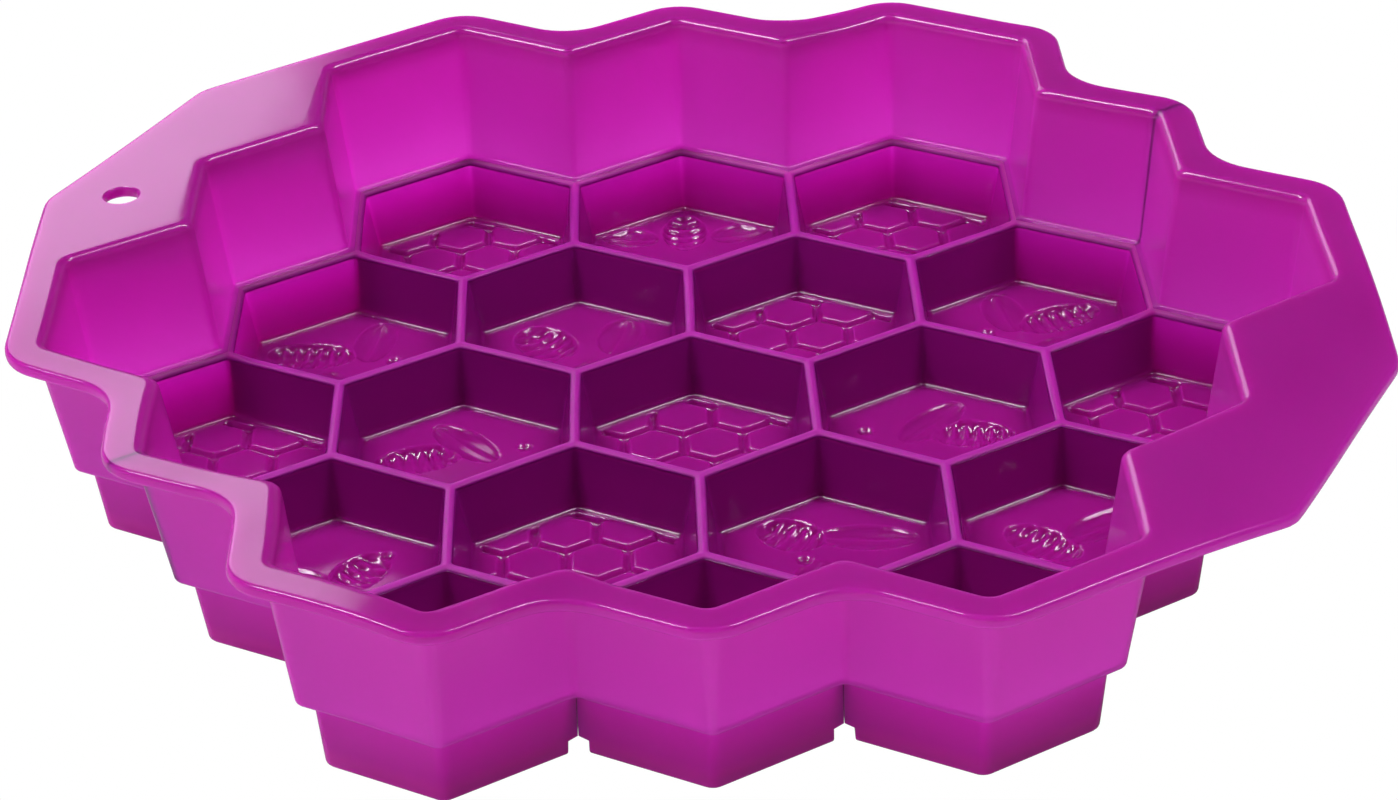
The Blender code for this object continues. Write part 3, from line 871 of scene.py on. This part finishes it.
def hole_cutter():
    """Spool whose waist is the hanging hole and whose flares round its edges."""
    middle = hole_middle()
    share = float(sag_share(HOLE_OUT))
    sag = TAB_SAGS["hanging_tab"]
    drop = sag * share**SAG_POWER - float(rim_lift(np.array([middle]))[0])
    half = (RIM_TOP - RIM_BOTTOM) / 2
    waist = half - HOLE_EDGE_RADIUS
    profile = []
    for turn in arc_steps(5, FLARE_SWEEP_DEG, 0):
        radius = HOLE_RADIUS + HOLE_EDGE_RADIUS * (1 - math.cos(turn))
        profile.append((radius, waist + HOLE_EDGE_RADIUS * math.sin(turn)))
    profile.insert(0, (profile[0][0] + FLARE_END_OUT, half + FLARE_END_PAST))
    profile += [(radius, -z) for radius, z in reversed(profile)]
    points = []
    for radius, z in profile:
        for i in range(HOLE_STEPS):
            spot = direction(2 * math.pi * i / HOLE_STEPS) * radius
            points.append((*spot, z))
    faces = ring_faces(len(profile), HOLE_STEPS)
    faces.append(tuple(range(HOLE_STEPS)))
    faces.append(tuple(reversed(range(len(points) - HOLE_STEPS, len(points)))))
    cutter = mesh_object("hole_cutter", points, [tuple(reversed(face)) for face in faces])
    slope = sag * SAG_POWER * share ** (SAG_POWER - 1) / (TAB_EDGE_OUT - SAG_START_OUT)
    hinge_line = Vector((*tab_axes("hanging_tab")[0], 0))
    place = Matrix.Translation((*middle, RIM_TOP - half - drop))
    cutter.matrix_world = place @ Matrix.Rotation(-math.atan(slope), 4, hinge_line)
    return cutter


def apply_modifiers(obj):
    """Put the evaluated mesh in place of the object's own."""
    bpy.context.view_layer.update()
    evaluated = obj.evaluated_get(bpy.context.evaluated_depsgraph_get())
    mesh = bpy.data.meshes.new_from_object(evaluated)
    obj.modifiers.clear()
    obj.data = mesh


def crease_hole(mesh):
    """Keep the tab's flat faces shaded flat up to the hole's rounded edge."""
    middle = Vector(hole_middle())
    reach = HOLE_RADIUS + 2 * HOLE_EDGE_RADIUS
    shape = bmesh.new()
    shape.from_mesh(mesh)
    for edge in shape.edges:
        if any((vert.co.xy - middle).length > reach for vert in edge.verts):
            continue
        flats = [abs(face.normal.z) > FLAT_ENOUGH for face in edge.link_faces]
        if any(flats) and not all(flats):
            edge.smooth = False
    shape.to_mesh(mesh)
    shape.free()


def cut_hole(shell):
    """Cut the hanging hole, with rounded edges, through the hanging tab."""
    cutter = hole_cutter()
    cut = shell.modifiers.new("hole", "BOOLEAN")
    cut.operation = "DIFFERENCE"
    cut.object = cutter
    apply_modifiers(shell)
    crease_hole(shell.data)
    bpy.data.objects.remove(cutter, do_unlink=True)


def build_shells():
    """The two halves of the skirt and rim, each bending out of the rim into its tab."""
    rows = shell_rows()
    base = rows[0][:, :2]
    corner = CENTRES["r4c1"] + direction(math.radians(210)) * SIDE
    cut = int(np.argmin(np.hypot(*(base - corner).T)))
    half = len(base) // 2
    shells = {
        "grip_tab": half_shell(rows, cut, "grip_tab"),
        "hanging_tab": half_shell(rows, (cut + half) % len(base), "hanging_tab"),
    }
    cut_hole(shells["hanging_tab"])
    for tab, shell in shells.items():
        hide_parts(tab)
        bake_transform(shell)
    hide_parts("skirt_wall", "rim_flange")
    return list(shells.values())


# Materials


def map_range(tree, value, from_range=(0, 1), to_range=(0, 1)):
    """Maps a socket's value from one range to another."""
    node = tree.nodes.new("ShaderNodeMapRange")
    node.inputs["From Min"].default_value, node.inputs["From Max"].default_value = from_range
    node.inputs["To Min"].default_value, node.inputs["To Max"].default_value = to_range
    tree.links.new(value, node.inputs["Value"])
    return node.outputs["Result"]


def combine(tree, operation, first, second):
    """A math node of two sockets."""
    node = tree.nodes.new("ShaderNodeMath")
    node.operation = operation
    tree.links.new(first, node.inputs[0])
    tree.links.new(second, node.inputs[1])
    return node.outputs["Value"]


def height_colour(tree, height, painted_shades):
    """Colour that runs through the shades with the height: painted light and shade."""
    ramp = tree.nodes.new("ShaderNodeValToRGB")
    tree.links.new(map_range(tree, height, from_range=(0, RIM_TOP)), ramp.inputs["Fac"])
    stops = ramp.color_ramp.elements
    for index, (stop_height, colour) in enumerate(painted_shades):
        stop = stops[index] if index < 2 else stops.new(1)
        stop.position = stop_height / RIM_TOP
        stop.color = (*colour, 1)
    return ramp.outputs["Color"]


def silicone(name, painted_shades, roughness, crest_roughness, soak_depth, ledge_soak=1.0):
    """Glossy pigmented silicone that light soaks into: faint clouding, a smeary gloss and a moulded grain.

    The shades are (height, colour) pairs of painted light and shade: paler crests, floors and ledge where
    light falls, and darker wells and rim top. Where a wall rounds into a crest the roughness turns to
    crest_roughness, and over the ledge the share of light that soaks in falls to ledge_soak.
    """
    material = bpy.data.materials.new(name)
    material.use_nodes = True
    tree = material.node_tree
    nodes = tree.nodes
    links = tree.links
    shader = nodes["Principled BSDF"]
    place = nodes.new("ShaderNodeTexCoord").outputs["Object"]
    parts = nodes.new("ShaderNodeSeparateXYZ")
    links.new(place, parts.inputs["Vector"])
    height = parts.outputs["Z"]

    def cloud(scale, detail):
        texture = nodes.new("ShaderNodeTexNoise")
        texture.inputs["Scale"].default_value = scale
        texture.inputs["Detail"].default_value = detail
        links.new(place, texture.inputs["Vector"])
        return texture.outputs["Fac"]

    tint = nodes.new("ShaderNodeVectorMath")
    tint.operation = "SCALE"
    links.new(height_colour(tree, height, painted_shades), tint.inputs["Vector"])
    clouding = map_range(tree, cloud(CLOUD_SCALE, 2), to_range=(1 - CLOUDING, 1 + CLOUDING))
    links.new(clouding, tint.inputs["Scale"])
    links.new(tint.outputs["Vector"], shader.inputs["Base Color"])

    smears = tuple(roughness + extra for extra in SMEAR_ROUGHNESS)
    gloss = map_range(tree, cloud(SMEAR_SCALE, 4), to_range=smears)
    crests = (DIVIDER_TOP - CREST_FILLET, DIVIDER_TOP - 0.5 * CREST_FILLET)
    wear = map_range(tree, height, from_range=crests, to_range=(0, crest_roughness - roughness))
    links.new(combine(tree, "ADD", gloss, wear), shader.inputs["Roughness"])

    grain = nodes.new("ShaderNodeBump")
    grain.inputs["Strength"].default_value = GRAIN_STRENGTH
    grain.inputs["Distance"].default_value = GRAIN_DEPTH
    links.new(cloud(GRAIN_SCALE, 2), grain.inputs["Height"])
    links.new(grain.outputs["Normal"], shader.inputs["Normal"])

    shader.inputs["IOR"].default_value = SILICONE_IOR
    shader.subsurface_method = "RANDOM_WALK"
    ledge = (DIVIDER_TOP + 0.05 * MM, LEDGE_TOP)
    soak = map_range(tree, height, from_range=ledge, to_range=(1, ledge_soak))
    links.new(soak, shader.inputs["Subsurface Weight"])
    shader.inputs["Subsurface Radius"].default_value = SOAK_COLOUR
    shader.inputs["Subsurface Scale"].default_value = soak_depth
    return material


def table_material():
    """White paper that lights the mould from below, and that the camera sees as plain white."""
    material = bpy.data.materials.new("white_table")
    material.use_nodes = True
    tree = material.node_tree
    nodes = tree.nodes
    links = tree.links
    shader = nodes["Principled BSDF"]
    shader.inputs["Roughness"].default_value = TABLE_ROUGHNESS
    shader.inputs["Emission Color"].default_value = (1, 1, 1, 1)
    shader.inputs["Emission Strength"].default_value = TABLE_GLOW
    path = nodes.new("ShaderNodeLightPath")
    whites = (TABLE_WHITE, TABLE_WHITE * TABLE_GLOSSY_SHARE)
    white = map_range(tree, path.outputs["Is Glossy Ray"], to_range=whites)
    links.new(white, shader.inputs["Base Color"])
    glow = nodes.new("ShaderNodeEmission")
    glow.inputs["Color"].default_value = (1, 1, 1, 1)
    mix = nodes.new("ShaderNodeMixShader")
    links.new(path.outputs["Is Camera Ray"], mix.inputs["Fac"])
    links.new(shader.outputs["BSDF"], mix.inputs[1])
    links.new(glow.outputs["Emission"], mix.inputs[2])
    links.new(mix.outputs["Shader"], nodes["Material Output"].inputs["Surface"])
    return material


# Stage


def table():
    """The pale surface that the mould stands on."""
    edge = TABLE_SIZE / 2
    corners = [(-edge, -edge, 0), (edge, -edge, 0), (edge, edge, 0), (-edge, edge, 0)]
    ground = mesh_object("table_top", corners, [(0, 1, 2, 3)])
    ground.data.materials.append(table_material())


def soft_light(name, place, size, power):
    """A soft box that faces the middle of the table."""
    data = bpy.data.lights.new(name, "AREA")
    data.shape = "RECTANGLE"
    data.size, data.size_y = size
    data.energy = power
    data.color = SOFT_BOX_COLOUR
    lamp = bpy.data.objects.new(name, data)
    bpy.context.scene.collection.objects.link(lamp)
    lamp.location = place
    lamp.rotation_mode = "QUATERNION"
    lamp.rotation_quaternion = (-Vector(place)).to_track_quat("-Z", "Y")


def room():
    """Light from all round, brightest at the horizon and on the left, that the camera sees as white."""
    world = bpy.data.worlds.new("studio")
    world.use_nodes = True
    tree = world.node_tree
    nodes = tree.nodes
    links = tree.links
    background = nodes["Background"]
    background.inputs["Color"].default_value = (1, 1, 1, 1)
    place = nodes.new("ShaderNodeTexCoord")
    parts = nodes.new("ShaderNodeSeparateXYZ")
    links.new(place.outputs["Generated"], parts.inputs["Vector"])
    strengths = (HORIZON_LIGHT, CEILING_LIGHT)
    fade = map_range(tree, parts.outputs["Z"], from_range=HORIZON_HEIGHTS, to_range=strengths)
    lean = nodes.new("ShaderNodeMath")
    lean.operation = "MULTIPLY_ADD"
    lean.inputs[1].default_value = -HORIZON_LEAN
    lean.inputs[2].default_value = 1.0
    links.new(parts.outputs["X"], lean.inputs[0])
    leaning = combine(tree, "MULTIPLY", fade, lean.outputs["Value"])
    path = nodes.new("ShaderNodeLightPath")
    shown = map_range(tree, path.outputs["Is Glossy Ray"], to_range=(1, ROOM_GLOSSY_SHARE))
    strength = nodes.new("ShaderNodeMix")
    strength.inputs["B"].default_value = 1.0
    links.new(path.outputs["Is Camera Ray"], strength.inputs["Factor"])
    links.new(combine(tree, "MULTIPLY", leaning, shown), strength.inputs["A"])
    links.new(strength.outputs["Result"], background.inputs["Strength"])
    bpy.context.scene.world = world


def camera():
    """The camera, in front of the mould and above it."""
    data = bpy.data.cameras.new("camera")
    data.lens = LENS
    data.sensor_width = SENSOR_WIDTH
    obj = bpy.data.objects.new("camera", data)
    bpy.context.scene.collection.objects.link(obj)
    obj.rotation_mode = "QUATERNION"
    obj.location = CAMERA_PLACE
    aim = CAMERA_DIRECTION.to_track_quat("-Z", "Y")
    roll = Matrix.Rotation(CAMERA_ROLL, 3, "Z").to_quaternion()
    obj.rotation_quaternion = aim @ roll
    bpy.context.scene.camera = obj


# The scene

shell_material = silicone(
    "silicone_skirt", SHELL_PAINTED_SHADE, roughness=0.15, crest_roughness=0.15, soak_depth=12 * MM
)
cell_material = silicone(
    "silicone_cells", CELL_PAINTED_LIGHT_AND_SHADE, roughness=0.13, crest_roughness=0.5, soak_depth=6 * MM, ledge_soak=0.2
)

for shell in build_shells():
    shell.data.materials.append(shell_material)

lattice = divider_lattice()
lattice.data.materials.append(cell_material)
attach(lattice, "mould_body")

for cell_name in CENTRES:
    piece = cup(cell_name)
    piece.data.materials.append(cell_material)

table()
room()
for light_name, light in SOFT_BOXES.items():
    soft_light(light_name, *light)
camera()
bpy.context.scene.view_settings.view_transform = "Standard"
